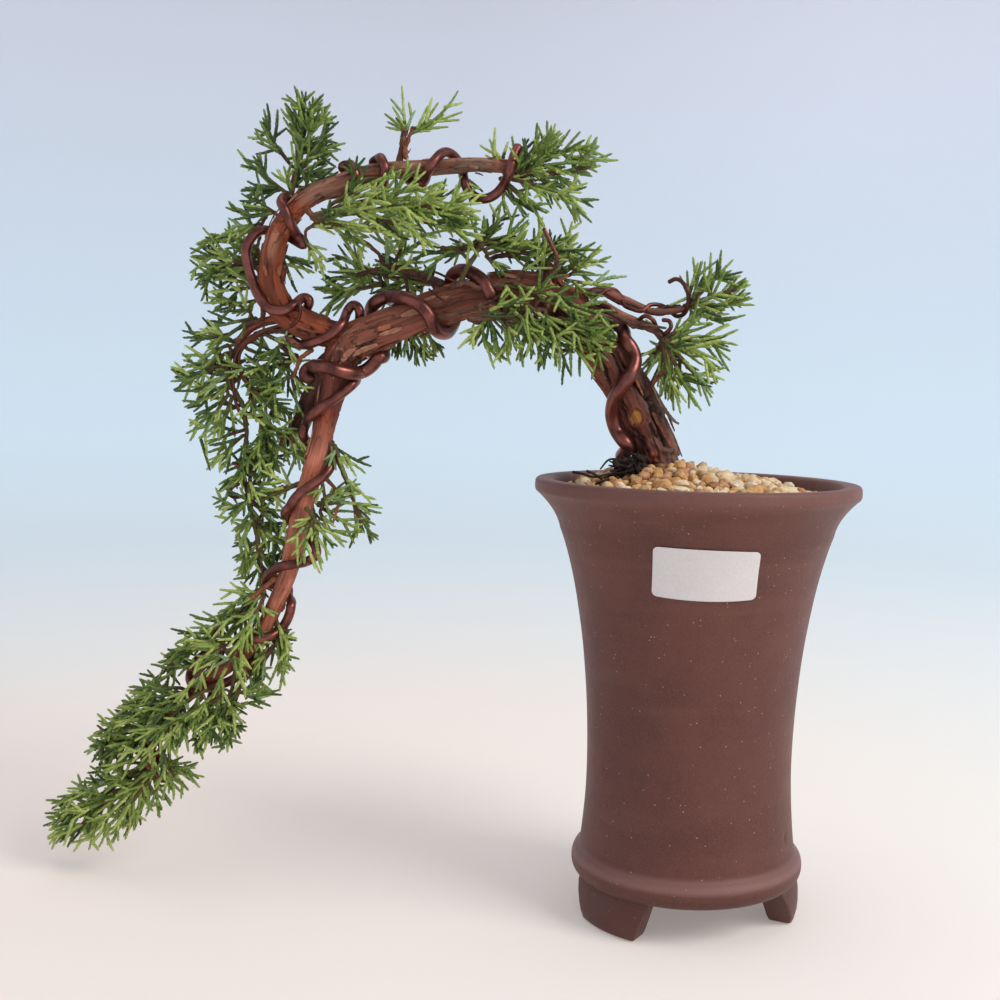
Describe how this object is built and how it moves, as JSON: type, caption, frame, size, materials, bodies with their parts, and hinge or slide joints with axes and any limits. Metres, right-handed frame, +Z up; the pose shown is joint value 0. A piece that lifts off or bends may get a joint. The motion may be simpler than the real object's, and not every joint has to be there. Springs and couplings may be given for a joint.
{
  "type": "juniper bonsai in a pot",
  "caption": "Juniper bonsai trained as a semi-cascade: its bent, wired trunk arches out of a tall flared clay pot on short feet, and one bough hangs well below the rim.",
  "frame": {"origin": "under the middle of the overall box, at the height of the surface the pot's feet stand on", "axes": "+Z up; the front, with the label, faces -Y; the pot is at +X and the cascade hangs towards -X"},
  "size_m": [0.3934, 0.1492, 0.3774],
  "materials": {
    "clay": "matte",
    "substrate": "matte",
    "label": "satin",
    "bark": "matte",
    "wire": "satin",
    "foliage": "matte"
  },
  "bodies": {
    "root": {"pot": "clay", "foot_front": "clay", "foot_right": "clay", "foot_rear": "clay", "soil": "substrate", "label": "label", "trunk_lower": "bark", "trunk_arch": "bark", "trunk_fork": "bark", "cascade_bough_upper": "bark", "cascade_bough_middle": "bark", "cascade_bough_tip": "bark", "upper_bough_rise": "bark", "upper_bough_run": "bark", "branch_left_hanging": "bark", "branch_rear": "bark", "branch_right_lower": "bark", "branch_right_upper": "bark", "branch_second_stem": "bark", "sprig_stem": "bark", "wire_cascade": "wire", "wire_trunk": "wire", "wire_upper_bough": "wire", "mass_crown_front": "foliage", "mass_crown_rear": "foliage", "mass_crown_upper": "foliage", "mass_left_hanging_lower": "foliage", "mass_left_hanging_upper": "foliage", "mass_left_trailing": "foliage", "mass_left_upper": "foliage", "mass_lower_left": "foliage", "mass_lower_right": "foliage", "mass_rear_mid": "foliage", "mass_tip": "foliage", "mass_tip_upper": "foliage", "mass_under_arch": "foliage", "spray_arch_top": "foliage", "spray_front_cascade": "foliage", "spray_rear_cascade": "foliage", "spray_right_cascade": "foliage", "spray_upper_front": "foliage", "sprig_top_left": "foliage", "sprig_top_right": "foliage", "tuft_right_lower": "foliage", "tuft_right_upper": "foliage", "tuft_top_left": "foliage", "tuft_upper_right": "foliage"}
  },
  "joints": []
}
